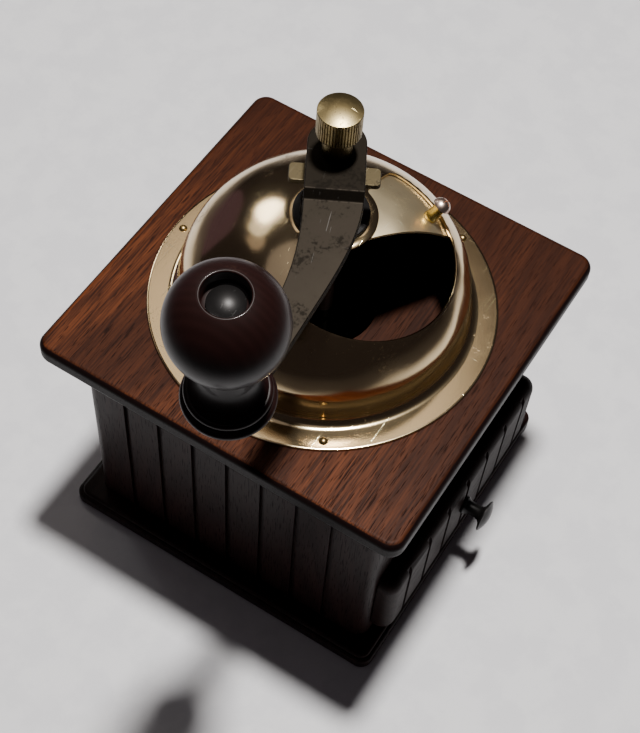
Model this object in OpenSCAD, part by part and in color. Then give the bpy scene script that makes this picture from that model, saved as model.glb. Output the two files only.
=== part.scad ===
// Box coffee mill with an open brass hopper dome, a turning hatch, a hand crank,
// an adjustable conical burr set and a drawer for the grounds.
// Millimetres. +Z is up, the drawer faces -Y, and the origin is the centre of the
// base plate's underside. The spindle stands on the Z axis.

/* [Box] */
// Width of the top plate along X
top_w = 135; // [130:1:150]
// Depth of the top plate along Y
top_d = 137; // [132:1:150]
// Thickness of the top plate
top_t = 8; // [7:0.5:10]
// Height of the top plate's upper face above the table
top_z = 104; // [100:1:115]
// Side of the square base plate
base_w = 130; // [128:1:136]
// Thickness of the base plate
base_t = 6; // [5:0.5:8]
// Width of the box over its side panels
box_w = 114; // [110:1:118]
// Depth of the box over its panels
box_d = 117; // [112:1:120]
// Thickness of the wooden panels
panel_t = 9; // [7:0.5:10]
// Number of upright grooves on each face
groove_count = 7; // [3:2:9]
// Distance between grooves
groove_pitch = 13.8; // [10:0.2:13.8]

/* [Drawer] */
// Width of the drawer front
front_w = 106; // [100:1:108]
// Lower edge of the drawer front above the table
front_z0 = 10; // [9:0.5:12]
// Upper edge of the drawer front above the table
front_z1 = 47; // [46:0.5:48]
// Thickness of the drawer front
front_t = 6.8; // [6:0.1:8]
// Height of the drawer knob's centre above the table
pull_z = 29; // [24:0.5:33]

/* [Hopper] */
// Outer radius of the dome's flange
flange_r = 58.3; // [56:0.1:62]
// Radius of the dome where it springs from the cove
dome_r = 48; // [46:0.5:50]
// Height of the dome's crown above the top plate, if it were not flattened
dome_h = 46; // [42:0.5:50]
// Thickness of the brass sheet
sheet_t = 0.8; // [0.6:0.1:1]
// Radius of the round cut that makes the filling opening
mouth_r = 32; // [28:0.5:33]
// Distance of that cut's centre in front of the spindle
mouth_y = 10; // [8:0.5:11]

/* [Crank] */
// Direction of the crank arm at rest, in degrees from +X
arm_angle = 209; // [0:1:359]
// Distance from the spindle to the grip, along the hub's direction
arm_reach = 80; // [70:1:90]
// Sideways offset of the grip from the hub's direction
arm_side = -24.5; // [-28:0.5:0]
// Slope of the arm below the horizontal
arm_slope = 7; // [4:0.5:9]
// Thickness of the arm
arm_t = 3; // [2.5:0.1:3.5]
// Width of the arm at the hub
hub_w = 17.5; // [16:0.5:19]
// Radius of the grip's ball
ball_r = 16; // [14:0.5:18]

/* [Hidden] */
$fn = 96;

wood = [0.30, 0.14, 0.09];
dark_wood = [0.16, 0.09, 0.08];
pale_wood = [0.72, 0.56, 0.38];
brass = [0.78, 0.66, 0.38];
steel = [0.42, 0.41, 0.38];
black_steel = [0.10, 0.10, 0.11];
gap = 0.1;       // clearance of parts that are assembled, not run
run_gap = 0.06;  // radial clearance of a running fit

// box
panel_z1 = top_z - top_t;
panel_edge_r = 5;
groove_w = 2;
groove_deep = 1.2;
inner_x = box_w / 2 - panel_t;
inner_y = box_d / 2 - panel_t;
rail_z0 = front_z1 - 2;
throat_r = 18;

// drawer
front_back_y = -box_d / 2 - 0.3;
front_face_y = front_back_y - front_t;
tray_wall = 4;
tray_floor = 2.5;
tray_x = inner_x - 2.4;
tray_back_y = inner_y - 3;
tray_z0 = base_t + 0.5;
tray_z1 = rail_z0 - 2;
floor_slot = 1.5;

// hopper
flange_in_r = dome_r + 3.4;
cove_r = flange_in_r - dome_r;
spring_h = 8;    // height of the cove's top, where the dome springs
spring_z = top_z + spring_h;
crown_r = 13;
bore_r = 8;
bush_flange_r = 12;
bush_flange_t = 1.3;
nail_ring_r = 55;
nail_shank_r = 0.8;
nail_angles = [92, 212, 332];
function dome_z(r, off) = spring_z
    + (dome_h - spring_h - off) * sqrt(1 - pow(r / (dome_r - off), 2));
crown_z = dome_z(crown_r, 0);
hatch_gap = 0.4;
hatch_off = sheet_t + hatch_gap;
hatch_r = 43;
hatch_cut = 12.4;
hatch_corner_r = 9;
hatch_edge_angles = [238, 178];
post_ring_r = 32.5;
post_angle = -44;
post_tilt = atan((post_ring_r / pow(dome_r, 2))
    / ((dome_z(post_ring_r, 0) - spring_z) / pow(dome_h - spring_h, 2)));
post_len = 5.8;
post_foot_r = 2.3;
post_r = 2;
post_bore_r = 1;
bush_top_z = crown_z + bush_flange_t;
bush_low_z = crown_z - hatch_off - sheet_t - 1.8;

// mill
spindle_r = 3.3;
housing_r = 24;
housing_wall = 3;
housing_z0 = 62;
ear_r = 33;
ear_t = 3;
ear_w = 12;
burr_out_r = housing_r - housing_wall;
burr_z0 = 66;
burr_z1 = 80;
funnel_h = 6;    // height of the funnel above the burrs
burr_top_z = burr_z1 + 8;
burr_low_r = 13.6;
burr_high_r = 17;
burr_pin_r = 1.5;
pin_z = burr_top_z + gap + burr_pin_r;
bridge_t = 4;
bridge_w = 11;
lower_bush_r = 5;

// crank
nut_z0 = bush_top_z + 0.2;
nut_flange_r = 9.7;
nut_flange_t = 4.4;
plate_z1 = 166.5;
plate_t = 1.8;
wing_span = 27.4;
wing_w = 6.8;
hub_z1 = 175.8;
hub_z0 = hub_z1 - arm_t;
hub_back = 4;    // how far behind the spindle the hub's round end is centred
joggle_x = 14;
joggle_run = 2;
joggle_drop = 2.6;
cap_z0 = hub_z1 + gap;
cap_collar_z = 183;   // underside of the knurled head
cap_z1 = 193.1;
cap_crown = 1.1;
cap_r = 6.7;
cap_bore = 13;
pivot_z = hub_z1 - joggle_drop - (arm_reach - joggle_x - joggle_run) * tan(arm_slope);
pin_r = 3.1;
end_r = 7;

// ---------- helpers ----------
// Points of an arc about c, from angle a0 to a1
function arc(c, r, a0, a1, n = 12) =
    [for (i = [0:n]) let (a = a0 + (a1 - a0) * i / n) [c[0] + r * cos(a), c[1] + r * sin(a)]];

// Points of the dome's quarter ellipse at an offset inwards, from radius r0 to r1
function dome_curve(off, r0, r1, n = 20) =
    [for (i = [0:n]) let (a0 = acos(min(1, r0 / (dome_r - off))), a1 = acos(min(1, r1 / (dome_r - off))),
        a = a0 + (a1 - a0) * i / n, r = (dome_r - off) * cos(a)) [r, dome_z(r, off)]];

module round_rect(w, h, r) {
    square([w - 2 * r, h], center = true);
    square([w, h - 2 * r], center = true);
    for (x = [-1, 1], y = [-1, 1]) translate([x * (w / 2 - r), y * (h / 2 - r)]) circle(r);
}

// Plate w by d by h with upright corners of radius rc and all edges rounded to re
module soft_slab(w, d, h, rc, re) {
    translate([0, 0, h / 2]) {
        rotate([90, 0, 90]) linear_extrude(w - 2 * rc, center = true) round_rect(d, h, re);
        rotate([90, 0, 0]) linear_extrude(d - 2 * rc, center = true) round_rect(w, h, re);
        for (x = [-1, 1], y = [-1, 1])
            translate([x * (w / 2 - rc), y * (d / 2 - rc), 0]) rotate_extrude() intersection() {
                round_rect(2 * rc, h, re);
                translate([0, -h]) square([rc, 2 * h]);
            }
    }
}

// Upright grooves along X, cut into a face that looks towards -Y
module grooves(face_y, z0, z1) {
    for (i = [0:groove_count - 1])
        translate([(i - (groove_count - 1) / 2) * groove_pitch - groove_w / 2, face_y - 1, z0])
            cube([groove_w, groove_deep + 1, z1 - z0]);
}

// Wood screw pointing up from z = 0, with a countersunk head below
module wood_screw(r, len, head_r) {
    cylinder(r = r, h = len);
    rotate_extrude()
        polygon([[0, 0], [head_r, 0], [head_r, 0.5], [r, head_r - r + 0.5], [0, head_r - r + 0.5]]);
}

module screw_hole(r, len, head_r) {
    translate([0, 0, -1]) cylinder(r = head_r + gap, h = 1.5 + gap);
    cylinder(r = r + gap, h = len + gap);
    rotate_extrude()
        polygon([[0, 0], [head_r + gap, 0], [head_r + gap, 0.5 + gap], [r + gap, head_r - r + 0.5 + gap],
            [0, head_r - r + 0.5 + gap]]);
}

// ---------- box ----------
module base_screw_places() {
    for (x = [-1, 1], y = [-1, 1])
        translate([x * (box_w / 2 - panel_t / 2), y * (box_d / 2 - 20), 0.4]) children();
}

module base_plate() {
    step_h = 2.2;
    color(dark_wood) difference() {
        union() {
            soft_slab(base_w, base_w, base_t - step_h + 1, 4.5, 1.2);
            soft_slab(base_w - 3, base_w - 3, base_t, 4, 1.2);
        }
        base_screw_places() screw_hole(1.7, 16, 3.4);
    }
}

module base_screws() {
    color(steel) base_screw_places() wood_screw(1.7, 16, 3.4);
}

// What is planed off the box's rear left corner to round it
module corner_waste() {
    translate([panel_edge_r - box_w / 2, box_d / 2 - panel_edge_r, base_t - 1]) difference() {
        translate([-panel_edge_r - 1, 0, 0]) cube([panel_edge_r + 1, panel_edge_r + 1, panel_z1]);
        translate([0, 0, -1]) cylinder(r = panel_edge_r, h = panel_z1 + 2);
    }
}

// Side panel on the -X side, with its two upright outer corners rounded
module side_panel() {
    difference() {
        translate([-box_w / 2, -box_d / 2, base_t]) cube([panel_t, box_d, panel_z1 - base_t]);
        corner_waste();
        mirror([0, 1, 0]) corner_waste();
        rotate([0, 0, -90]) grooves(-box_w / 2, base_t - 1, panel_z1 + 1);
        base_screw_places() screw_hole(1.7, 16, 3.4);
    }
}

module left_panel() {
    color(dark_wood) side_panel();
}

module right_panel() {
    color(dark_wood) mirror([1, 0, 0]) side_panel();
}

module back_panel() {
    color(dark_wood) difference() {
        translate([-inner_x, inner_y, base_t]) cube([2 * inner_x, panel_t, panel_z1 - base_t]);
        rotate([0, 0, 180]) grooves(-box_d / 2, base_t - 1, panel_z1 + 1);
    }
}

module front_rail() {
    color(dark_wood) difference() {
        translate([-inner_x, -box_d / 2, rail_z0]) cube([2 * inner_x, panel_t, panel_z1 - rail_z0]);
        grooves(-box_d / 2, rail_z0 - 1, panel_z1 + 1);
    }
}

// Two strips inside the box that keep the drawer straight
module drawer_guides() {
    guide_w = inner_x - tray_x - 0.4;
    color(pale_wood) for (s = [-1, 1])
        translate([s > 0 ? inner_x - guide_w : -inner_x, -inner_y, base_t])
            cube([guide_w, 2 * inner_y - 2, 12]);
}

module nail_places() {
    for (a = nail_angles) rotate([0, 0, a]) translate([nail_ring_r, 0, top_z + sheet_t]) children();
}

module top_plate() {
    color(wood) difference() {
        translate([0, 0, panel_z1]) soft_slab(top_w, top_d, top_t, 5.5, 2.6);
        translate([0, 0, panel_z1 - 1]) cylinder(r = throat_r, h = top_t + 2);
        nail_places() translate([0, 0, -7]) cylinder(r = nail_shank_r + gap, h = 8, $fn = 24);
        housing_screw_places() translate([0, 0, -1]) cylinder(r = 1.5 + gap, h = 7, $fn = 24);
    }
}

// ---------- hopper ----------
// Outline of the filling opening: a round cut, less the crown's disc and the rear half
module mouth_outline() {
    back_y = -4;
    soft = 3;
    side_x = sqrt(pow(mouth_r - soft, 2) - pow(mouth_y + back_y - soft, 2));
    turn = asin((mouth_y + back_y - soft) / (mouth_r - soft));
    disc_x = sqrt(pow(crown_r + 1.6 + soft, 2) - pow(back_y - soft, 2));
    difference() {
        polygon(concat(
            arc([side_x, back_y - soft], soft, 90, turn, 6),
            arc([0, -mouth_y], mouth_r, turn, -180 - turn, 48),
            arc([-side_x, back_y - soft], soft, 180 - turn, 90, 6)));
        circle(crown_r + 1.6);
        translate([-disc_x, back_y - soft]) square([2 * disc_x, soft + 1]);
    }
    // rounded inner corners where the disc meets the straight rear edge
    for (s = [-1, 1]) translate([s * disc_x, back_y - soft]) circle(soft, $fn = 32);
}

module dome() {
    outer = concat([[flange_r, top_z], [flange_r, top_z + sheet_t]],
        arc([flange_in_r, top_z + sheet_t + cove_r], cove_r, 270, 180, 10), dome_curve(0, dome_r, crown_r),
        [[bore_r + gap, crown_z], [bore_r + gap, crown_z - sheet_t]]);
    inner = concat(dome_curve(sheet_t, crown_r, dome_r - sheet_t),
        arc([flange_in_r, top_z + sheet_t + cove_r], cove_r + sheet_t, 180, 270, 10));
    color(brass) difference() {
        rotate_extrude() polygon(concat(outer, inner));
        translate([0, 0, top_z + 14]) linear_extrude(60) mouth_outline();
        nail_places() translate([0, 0, -2]) cylinder(r = nail_shank_r + gap, h = 4, $fn = 24);
    }
}

module dome_nails() {
    head_r = 1.45;
    color(brass) nail_places() {
        translate([0, 0, -6.5]) cylinder(r = nail_shank_r, h = 7, $fn = 24);
        translate([0, 0, 0.05]) rotate_extrude($fn = 32)
            polygon(concat([[0, 0]], arc([0, -0.6], sqrt(pow(head_r, 2) + 0.36), 22.5, 90, 6)));
    }
}

module upper_bush() {
    color(black_steel) difference() {
        union() {
            translate([0, 0, crown_z]) cylinder(r = bush_flange_r, h = bush_flange_t);
            translate([0, 0, bush_low_z]) cylinder(r = bore_r, h = bush_top_z - bush_low_z);
        }
        translate([0, 0, bush_low_z - 1]) cylinder(r = spindle_r + run_gap, h = 20);
    }
}

// Ring pressed on the bush below the hatch, so that the hatch cannot drop
module hatch_washer() {
    color(steel) translate([0, 0, bush_low_z + 0.3]) difference() {
        cylinder(r = bush_flange_r, h = 1);
        translate([0, 0, -1]) cylinder(r = bore_r, h = 3);
    }
}

// Outline of the hatch: a disc with two straight edges and two round corners
module hatch_outline() {
    lead = hatch_edge_angles[0];
    trail = hatch_edge_angles[1];
    in_r = hatch_r - hatch_corner_r;
    in_cut = hatch_cut - hatch_corner_r;
    swing = acos(in_cut / in_r);
    a0 = lead + swing;
    a1 = trail + 360 - swing;
    meet_a = (lead + trail) / 2;
    meet_r = hatch_cut / cos((lead - trail) / 2);
    polygon(concat(
        arc([in_r * cos(a0), in_r * sin(a0)], hatch_corner_r, lead, a0, 8),
        arc([0, 0], hatch_r, a0, a1, 40),
        arc([in_r * cos(a1), in_r * sin(a1)], hatch_corner_r, a1, trail + 360, 8),
        [[meet_r * cos(meet_a), meet_r * sin(meet_a)]]));
}

module at_post() {
    rotate([0, 0, post_angle]) translate([post_ring_r, 0, dome_z(post_ring_r, hatch_off)])
        rotate([0, post_tilt, 0]) children();
}

module hatch() {
    top = dome_curve(hatch_off, hatch_r + 1, crown_r);
    low = dome_curve(hatch_off + sheet_t, crown_r, hatch_r + 1);
    color(brass) difference() {
        intersection() {
            rotate_extrude() polygon(concat(top, [[bore_r + run_gap, crown_z - hatch_off],
                [bore_r + run_gap, crown_z - hatch_off - sheet_t]], low));
            translate([0, 0, top_z]) linear_extrude(60) hatch_outline();
        }
        at_post() translate([0, 0, -3]) cylinder(r = post_bore_r + gap / 2, h = 6, $fn = 32);
    }
}

module hatch_post() {
    color(brass) at_post() difference() {
        rotate_extrude($fn = 48) polygon([[0, 0.15], [post_foot_r, 0.15], [post_foot_r, 1], [post_r, 1.8],
            [post_r, post_len], [0, post_len]]);
        translate([0, 0, -1]) cylinder(r = post_bore_r + gap / 2, h = post_len + 2, $fn = 32);
    }
}

// Screw through the post and the hatch, with its nut below
module hatch_screw() {
    head_r = 3.1;
    color("silver") at_post() {
        difference() {
            rotate_extrude($fn = 48) polygon(concat([[0, post_len + 0.05]],
                arc([0, post_len - 0.6], sqrt(pow(head_r, 2) + 0.42), 12, 90, 8)));
            for (a = [0, 90]) rotate([0, 0, a]) translate([-1.6, -0.3, post_len + 1.8]) cube([3.2, 0.6, 3]);
        }
        translate([0, 0, -3]) cylinder(r = post_bore_r, h = post_len + 3.5, $fn = 32);
        translate([0, 0, -2.6]) cylinder(r = 2, h = 1.6, $fn = 6);
    }
}

// ---------- mill ----------
module housing_screw_places() {
    for (a = [45:90:315]) rotate([0, 0, a]) translate([ear_r - 4.5, 0, panel_z1]) children();
}

module burr_housing() {
    color(black_steel) difference() {
        union() {
            translate([0, 0, housing_z0]) cylinder(r = housing_r, h = panel_z1 - housing_z0);
            for (a = [45, 135]) rotate([0, 0, a]) translate([0, 0, panel_z1 - ear_t]) intersection() {
                translate([-ear_r, -ear_w / 2, 0]) cube([2 * ear_r, ear_w, ear_t]);
                cylinder(r = ear_r, h = ear_t);
            }
        }
        translate([0, 0, housing_z0 - 1]) cylinder(r = burr_out_r, h = burr_z1 - housing_z0 + 1);
        translate([0, 0, burr_z1 - 0.01]) rotate_extrude()
            polygon([[0, 0], [burr_high_r, 0], [throat_r, funnel_h], [throat_r, 20], [0, 20]]);
        housing_screw_places() translate([0, 0, -5]) cylinder(r = 1.5 + gap, h = 8, $fn = 24);
        bridge_screw_places() translate([0, 0, -1]) cylinder(r = 1.2 + gap, h = 7, $fn = 24);
    }
}

module housing_screws() {
    color(steel) housing_screw_places() {
        translate([0, 0, -4.8]) cylinder(r = 2.8, h = 1.7, $fn = 32);
        translate([0, 0, -3.2]) cylinder(r = 1.5, h = 8, $fn = 24);
    }
}

// Ring burr: a cone-shaped bore with slanting teeth
module outer_burr() {
    teeth = 24;
    color(steel) difference() {
        translate([0, 0, burr_z0]) cylinder(r = burr_out_r - gap / 2, h = burr_z1 - burr_z0 - gap);
        rotate_extrude() polygon([[0, burr_z0 - 1], [burr_low_r, burr_z0 - 1], [burr_low_r, burr_z0],
            [burr_high_r - 1.2, burr_z1], [burr_high_r - 1.2, burr_z1 + 1], [0, burr_z1 + 1]]);
        for (i = [0:teeth - 1]) rotate([0, 0, i * 360 / teeth])
            translate([burr_low_r - 1, 0, burr_z0 + 4]) rotate([18, 9, 0]) translate([0, -0.6, -1])
                cube([2.4, 1.2, 18]);
    }
}

module bridge_screw_places() {
    for (a = [0, 180]) rotate([0, 0, a]) translate([housing_r - housing_wall / 2, 0, housing_z0]) children();
}

module lower_bridge() {
    color(steel) difference() {
        translate([0, 0, housing_z0 - bridge_t]) intersection() {
            cylinder(r = housing_r, h = bridge_t);
            union() {
                translate([-housing_r, -bridge_w / 2, 0]) cube([2 * housing_r, bridge_w, bridge_t]);
                cylinder(r = 9, h = bridge_t);
            }
        }
        translate([0, 0, housing_z0 - 10]) cylinder(r = lower_bush_r + gap / 2, h = 20);
        bridge_screw_places() translate([0, 0, -10]) cylinder(r = 1.2 + gap, h = 12, $fn = 24);
    }
}

module bridge_screws() {
    color(steel) bridge_screw_places() {
        translate([0, 0, -bridge_t - 1.6]) cylinder(r = 2.1, h = 1.55, $fn = 32);
        translate([0, 0, -bridge_t - 0.1]) cylinder(r = 1.2, h = 9, $fn = 24);
    }
}

module lower_bush() {
    color(brass) difference() {
        union() {
            translate([0, 0, housing_z0 - bridge_t - 0.2]) cylinder(r = lower_bush_r, h = bridge_t + 0.2);
            translate([0, 0, housing_z0 - bridge_t - 1.4]) cylinder(r = lower_bush_r + 1.5, h = 1.3);
        }
        translate([0, 0, housing_z0 - 10]) cylinder(r = spindle_r + run_gap, h = 20);
    }
}

// ---------- drawer ----------
module drawer_front() {
    mid_z = (front_z0 + front_z1) / 2;
    front_h = front_z1 - front_z0;
    color(dark_wood) difference() {
        intersection() {
            translate([0, front_back_y + front_t, mid_z]) rotate([90, 0, 0])
                soft_slab(front_w, front_h, 2 * front_t, 6, 5);
            translate([-front_w, front_face_y - 1, 0]) cube([2 * front_w, front_t + 1, 2 * front_z1]);
        }
        grooves(front_face_y, front_z0 - 1, front_z1 + 1);
        translate([0, front_back_y + 1, pull_z]) rotate([90, 0, 0])
            cylinder(r = 1.6 + gap, h = front_t + 2, $fn = 32);
    }
}

module tray_side() {
    color(pale_wood) difference() {
        translate([-tray_x, front_back_y, tray_z0])
            cube([tray_wall, tray_back_y - front_back_y, tray_z1 - tray_z0]);
        floor_space();
    }
}

// Space of the tray's floor board with its clearance in the grooves
module floor_space() {
    translate([-tray_x + tray_wall - floor_slot - gap, front_back_y - 1, tray_z0 + 1.5 - gap / 2])
        cube([2 * (tray_x - tray_wall + floor_slot + gap), tray_back_y - front_back_y + 2, tray_floor + gap]);
}

module drawer_left() {
    tray_side();
}

module drawer_right() {
    mirror([1, 0, 0]) tray_side();
}

module drawer_back() {
    floor_top = tray_z0 + 1.5 + tray_floor;
    color(pale_wood) translate([-tray_x + tray_wall, tray_back_y - tray_wall, floor_top])
        cube([2 * (tray_x - tray_wall), tray_wall, tray_z1 - floor_top]);
}

module drawer_bottom() {
    color(pale_wood) translate([-tray_x + tray_wall - floor_slot, front_back_y, tray_z0 + 1.5])
        cube([2 * (tray_x - tray_wall + floor_slot), tray_back_y - front_back_y, tray_floor]);
}

module drawer_pull() {
    color(black_steel) translate([0, front_face_y, pull_z]) rotate([90, 0, 0]) difference() {
        rotate_extrude($fn = 64) polygon(concat([[0, 0], [3.4, 0], [3.4, 1], [2.6, 1.8], [2.5, 6.4], [3.6, 7.6],
            [5.9, 8.4], [6, 9]], arc([0, -1], 11.6, 60, 90, 6)));
        translate([0, 0, -1]) cylinder(r = 1.6 + gap / 2, h = 6, $fn = 32);
    }
}

module pull_screw() {
    color(steel) translate([0, front_back_y, pull_z]) rotate([90, 0, 0]) {
        translate([0, 0, -2.1]) cylinder(r = 3.2, h = 2);
        translate([0, 0, -0.2]) cylinder(r = 1.6, h = front_t + 4, $fn = 32);
    }
}

// ---------- crank ----------
module spindle() {
    low_z = housing_z0 - bridge_t - 4;
    color(steel) difference() {
        translate([0, 0, low_z]) cylinder(r = spindle_r, h = cap_z0 + cap_bore - gap - low_z);
        translate([0, 0, pin_z]) rotate([0, 90, 0]) cylinder(r = burr_pin_r, h = 20, center = true, $fn = 32);
    }
}

// Cone burr on the spindle, with slanting teeth
module inner_burr() {
    teeth = 14;
    color(steel) difference() {
        rotate_extrude() polygon([[0, burr_z0 + 1], [burr_low_r - 1, burr_z0 + 1],
            [burr_low_r - 1, burr_z0 + 2.5], [10.6, burr_z1 - 3], [6.5, burr_top_z], [0, burr_top_z]]);
        translate([0, 0, burr_z0]) cylinder(r = spindle_r, h = 40);
        for (i = [0:teeth - 1]) rotate([0, 0, i * 360 / teeth])
            translate([burr_low_r - 2.6, 0, burr_z0]) rotate([-20, -14, 0]) translate([0, -0.7, -4])
                cube([4, 1.4, 32]);
    }
}

// Cross pin that drives the burr
module burr_pin() {
    color(steel) translate([0, 0, pin_z]) rotate([0, 90, 0])
        cylinder(r = burr_pin_r, h = 12, center = true, $fn = 32);
}

// Points of one ring of a coil spring's wire at angle a
function wire_ring(r, w, a, z, sides) =
    [for (k = [0:sides - 1]) let (b = 360 * k / sides, q = r + w * cos(b))
        [q * cos(a), q * sin(a), z + w * sin(b)]];

// Spring between the bridge and the burr, that holds the spindle up against its nut
module burr_spring() {
    wire = 0.6;
    coil_r = 5.4;
    turns = 2;
    steps = 18;
    sides = 8;
    z0 = housing_z0 + wire + 0.1;
    rise = burr_z0 + 1 - wire - 0.1 - z0;
    count = turns * steps;
    points = [for (i = [0:count]) each wire_ring(coil_r, wire, i * 360 / steps, z0 + rise * i / count, sides)];
    walls = [for (i = [0:count - 1], k = [0:sides - 1]) let (a = i * sides + k, b = i * sides + (k + 1) % sides)
        each [[a, b, b + sides], [a, b + sides, a + sides]]];
    ends = [[for (k = [0:sides - 1]) sides - 1 - k], [for (k = [0:sides - 1]) count * sides + k]];
    color(steel) polyhedron(points, concat(walls, ends));
}

// Nut that sets how high the spindle and its burr hang
module adjusting_nut() {
    notches = 12;
    color(black_steel) difference() {
        union() {
            translate([0, 0, nut_z0]) cylinder(r = nut_flange_r, h = nut_flange_t);
            translate([0, 0, nut_z0]) cylinder(r = 7.4, h = plate_z1 - plate_t - gap - nut_z0);
        }
        translate([0, 0, nut_z0 - 1]) cylinder(r = spindle_r + run_gap, h = 30);
        for (i = [0:notches - 1]) rotate([0, 0, i * 360 / notches])
            translate([nut_flange_r + 0.4, 0, nut_z0 - 1]) cylinder(r = 1.2, h = nut_flange_t + 2, $fn = 24);
    }
}

// Winged plate that turns with the spindle and holds the nut
module lock_plate() {
    color(steel) rotate([0, 0, arm_angle]) difference() {
        union() {
            translate([0, 0, plate_z1 - plate_t]) linear_extrude(plate_t) {
                circle(9.2);
                round_rect(wing_w, wing_span, 1.4);
            }
            translate([0, 0, plate_z1]) cylinder(r = 6.8, h = hub_z0 - gap - plate_z1);
        }
        translate([0, 0, plate_z1 - 10]) cylinder(r = spindle_r, h = 30);
    }
}

// Middle line of the arm: a curve from the hub's fold to the grip
function arm_mid(t) = [
    joggle_x * pow(1 - t, 2) + 2 * t * (1 - t) * arm_reach / 2 + arm_reach * t * t,
    arm_side * t * t];
function arm_dir(t) = let (d = arm_mid(t + 0.01) - arm_mid(t - 0.01)) d / norm(d);
function arm_half(t) = let (u = min(1, t / 0.7)) hub_w / 2 - (hub_w / 2 - 5) * (3 * u * u - 2 * u * u * u);
function arm_edge(t, side) = let (d = arm_dir(t)) arm_mid(t) + side * arm_half(t) * [-d[1], d[0]];

module arm_plan() {
    steps = 16;
    translate([-hub_back, 0]) circle(hub_w / 2);
    translate([-hub_back, -hub_w / 2]) square([joggle_x + hub_back, hub_w]);
    polygon(concat([for (i = [0:steps]) arm_edge(i / steps, -1)],
        [for (i = [steps:-1:0]) arm_edge(i / steps, 1)]));
    translate([arm_reach, arm_side]) circle(end_r);
}

// Side view of the arm: flat hub, joggle and sloping bar
module arm_profile() {
    low_x = joggle_x + joggle_run;
    low_z = hub_z1 - joggle_drop;
    far_x = arm_reach + 20;
    far_z = low_z - (far_x - low_x) * tan(arm_slope);
    thick = arm_t / cos(arm_slope);
    polygon([[-20, hub_z1], [joggle_x, hub_z1], [low_x, low_z], [far_x, far_z], [far_x, far_z - thick],
        [low_x - 0.8, low_z - thick], [joggle_x - 0.8, hub_z0], [-20, hub_z0]]);
}

// Frame of the grip: origin on the arm's upper face, +Z along the grip's axis
module at_grip() {
    rotate([0, 0, arm_angle]) translate([arm_reach, arm_side, pivot_z]) rotate([0, arm_slope, 0]) children();
}

module crank_arm() {
    color(steel) difference() {
        rotate([0, 0, arm_angle]) intersection() {
            translate([0, 0, 150]) linear_extrude(40) arm_plan();
            rotate([90, 0, 0]) linear_extrude(120, center = true) arm_profile();
        }
        translate([0, 0, 150]) cylinder(r = spindle_r, h = 40);
        at_grip() translate([0, 0, -10]) cylinder(r = pin_r, h = 20);
    }
}

module cap_nut() {
    flutes = 44;
    collar_r = 4.5;
    top_r = cap_r - 0.4;
    crown_r2 = (pow(top_r, 2) + pow(cap_crown, 2)) / (2 * cap_crown);
    sweep = asin(top_r / crown_r2);
    color(brass) difference() {
        rotate_extrude() polygon(concat([[0, cap_z0], [collar_r - 0.6, cap_z0], [collar_r, cap_z0 + 0.6],
            [collar_r, cap_collar_z - 1.6], [collar_r - 0.5, cap_collar_z - 1.2],
            [collar_r - 0.5, cap_collar_z - 0.6], [cap_r - 0.7, cap_collar_z],
            [cap_r, cap_collar_z + 0.7], [cap_r, cap_z1 - 0.4]],
            arc([0, cap_z1 + cap_crown - crown_r2], crown_r2, 90 - sweep, 90, 8)));
        translate([0, 0, cap_z0 - 1]) cylinder(r = spindle_r, h = cap_bore + 1);
        for (i = [0:flutes - 1]) rotate([0, 0, i * 360 / flutes])
            translate([cap_r + 0.1, 0, cap_collar_z + 1])
                cylinder(r = 0.32, h = cap_z1 - cap_collar_z - 2, $fn = 16);
    }
}

// Heights along the grip, from the arm's upper face
grip_z0 = 0.4;
ball_z = 41.5;
neck_r = 8;
cup_r = 6.6;
cup_z = ball_z + 9.5;

module grip_rivet() {
    color(black_steel) at_grip() {
        translate([0, 0, -arm_t - 1.4]) cylinder(r = 5, h = 1.4);
        translate([0, 0, -arm_t - 1]) cylinder(r = pin_r, h = cup_z + arm_t + 1.6);
        translate([0, 0, cup_z + 0.4]) rotate_extrude()
            polygon(concat([[0, 0], [4.9, 0], [4.9, 0.5]], arc([0, -6.3], 8.35, 54.3, 90, 8)));
    }
}

// Turned grip: flared foot with two beads, waist, neck bead and ball with a counterbore
module grip_knob() {
    neck_z = ball_z - sqrt(pow(ball_r, 2) - pow(neck_r, 2));
    rim = asin((cup_r + 0.9) / ball_r);
    color(dark_wood) at_grip() difference() {
        rotate_extrude() polygon(concat(
            [[0, grip_z0], [11.6, grip_z0]],
            arc([11.6, grip_z0 + 1.6], 1.6, -90, 80, 6),
            [[12.2, 4.2]],
            arc([10.8, 5.6], 1.3, -60, 100, 5),
            arc([16.5, 15], 9.4, 232, 180, 8),
            [[6.9, neck_z - 8]],
            arc([7.2, neck_z - 4], 1.9, -80, 80, 6),
            [[neck_r - 0.9, neck_z - 1.6]],
            arc([0, ball_z], ball_r, asin((neck_z - ball_z) / ball_r), 90 - rim, 30),
            [[cup_r, ball_z + ball_r * cos(rim) - 0.5], [0, ball_z + ball_r * cos(rim) - 0.5]]));
        translate([0, 0, -1]) cylinder(r = pin_r + run_gap, h = ball_z + ball_r);
        translate([0, 0, cup_z]) cylinder(r = cup_r, h = ball_r);
    }
}

base_plate();
left_panel();
right_panel();
back_panel();
front_rail();
drawer_guides();
top_plate();
dome();
dome_nails();
upper_bush();
hatch_washer();
burr_housing();
housing_screws();
outer_burr();
lower_bridge();
bridge_screws();
lower_bush();
base_screws();
drawer_front();
drawer_left();
drawer_right();
drawer_back();
drawer_bottom();
drawer_pull();
pull_screw();
hatch();
hatch_post();
hatch_screw();
adjusting_nut();
spindle();
inner_burr();
burr_pin();
burr_spring();
lock_plate();
crank_arm();
cap_nut();
grip_rivet();
grip_knob();
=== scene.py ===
# %% [markdown]
# # A box coffee mill
# The fixed frame is the mill as it was drawn in the CAD program: every board, screw and burr at its
# real place. Here the visible pieces are given softer edges, true curves and real finishes. All lengths
# are in metres, and MM turns a length in millimetres into metres.

# %% Load the frame
import math

import bpy
from mathutils import Matrix, Vector


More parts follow.
